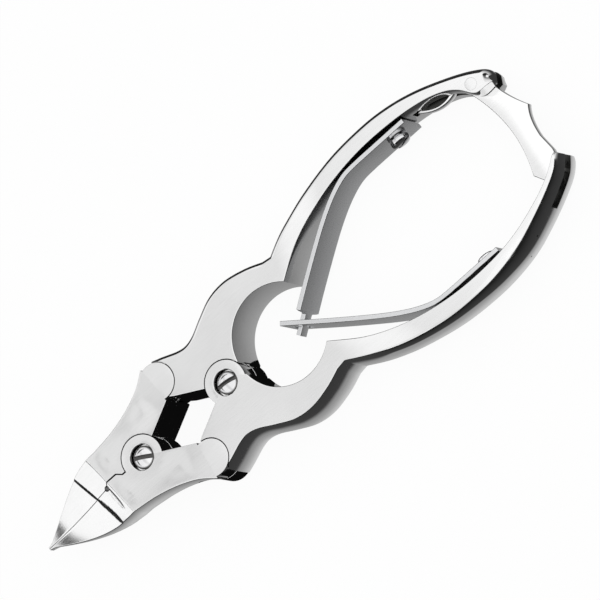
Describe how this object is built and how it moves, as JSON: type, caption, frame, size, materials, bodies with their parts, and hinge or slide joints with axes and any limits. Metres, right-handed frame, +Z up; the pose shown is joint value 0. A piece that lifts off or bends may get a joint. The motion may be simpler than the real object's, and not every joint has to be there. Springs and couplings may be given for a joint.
{
  "type": "double-action nail nipper",
  "caption": "Compound-action steel nail nipper with pointed hollow-ground jaws, bowed spring-loaded handles, interlocking leaf springs and an end lock lever",
  "frame": {"origin": "on the handle pivot's axis, in the plane of the head's underside", "axes": "+X from the handle pivot to the jaw tips, +Y to handle b, +Z up from the underside to the face with the screw heads"},
  "size_m": [0.1369, 0.0446, 0.011],
  "materials": {
    "polished_steel": "mirror-polished stainless steel with a fine ground grain on the flat faces",
    "spring_steel": "polished spring steel with a lengthwise grain",
    "screw_steel": "turned steel, domed heads",
    "pin_steel": "ground flush, satin"
  },
  "bodies": {
    "handle_a": {"handle_a": "polished_steel", "handle_pivot_screw": "screw_steel", "knuckle_pin_a": "pin_steel", "spring_screw_a": "screw_steel", "lock_rivet": "pin_steel"},
    "handle_b": {"handle_b": "polished_steel", "knuckle_pin_b": "pin_steel", "spring_screw_b": "screw_steel", "catch_pin": "pin_steel"},
    "jaw_a": {"jaw_a": "polished_steel", "jaw_pivot_screw": "screw_steel"},
    "jaw_b": {"jaw_b": "polished_steel"},
    "spring_a": {"leaf_spring_a": "spring_steel"},
    "spring_b": {"leaf_spring_b": "spring_steel"},
    "lock": {"lock_lever": "polished_steel"}
  },
  "joints": [
    {"name": "grips", "type": "hinge", "parent": "handle_a", "child": "handle_b", "pos_m": [0, 0, 0], "axis": [0, 0, -1], "range_deg": [0, 18]},
    {"name": "jaw_a_knuckle", "type": "hinge", "parent": "handle_a", "child": "jaw_a", "pos_m": [0.01184, -0.01001, 0], "axis": [0, 0, -1], "range_deg": [0, 18]},
    {"name": "jaw_b_knuckle", "type": "hinge", "parent": "handle_b", "child": "jaw_b", "pos_m": [0.01184, 0.01001, 0], "axis": [0, 0, 1], "range_deg": [0, 18]},
    {"name": "spring_a_bend", "type": "hinge", "parent": "handle_a", "child": "spring_a", "pos_m": [-0.05804, -0.0169, 0.0055], "axis": [0, 0, 1], "range_deg": [0, 3.7]},
    {"name": "spring_b_bend", "type": "hinge", "parent": "handle_b", "child": "spring_b", "pos_m": [-0.05804, 0.0169, 0.0055], "axis": [0, 0, -1], "range_deg": [0, 3.7]},
    {"name": "lock_swing", "type": "hinge", "parent": "handle_a", "child": "lock", "pos_m": [-0.07809, -0.0128, 0.0055], "axis": [0, 0, -1], "range_deg": [-4, 5]}
  ],
  "couplings": [
    {"joint": "jaw_a_knuckle", "follows": "grips", "ratio": 1},
    {"joint": "jaw_b_knuckle", "follows": "grips", "ratio": 1},
    {"joint": "spring_a_bend", "follows": "grips", "ratio": 0.203},
    {"joint": "spring_b_bend", "follows": "grips", "ratio": 0.203}
  ]
}
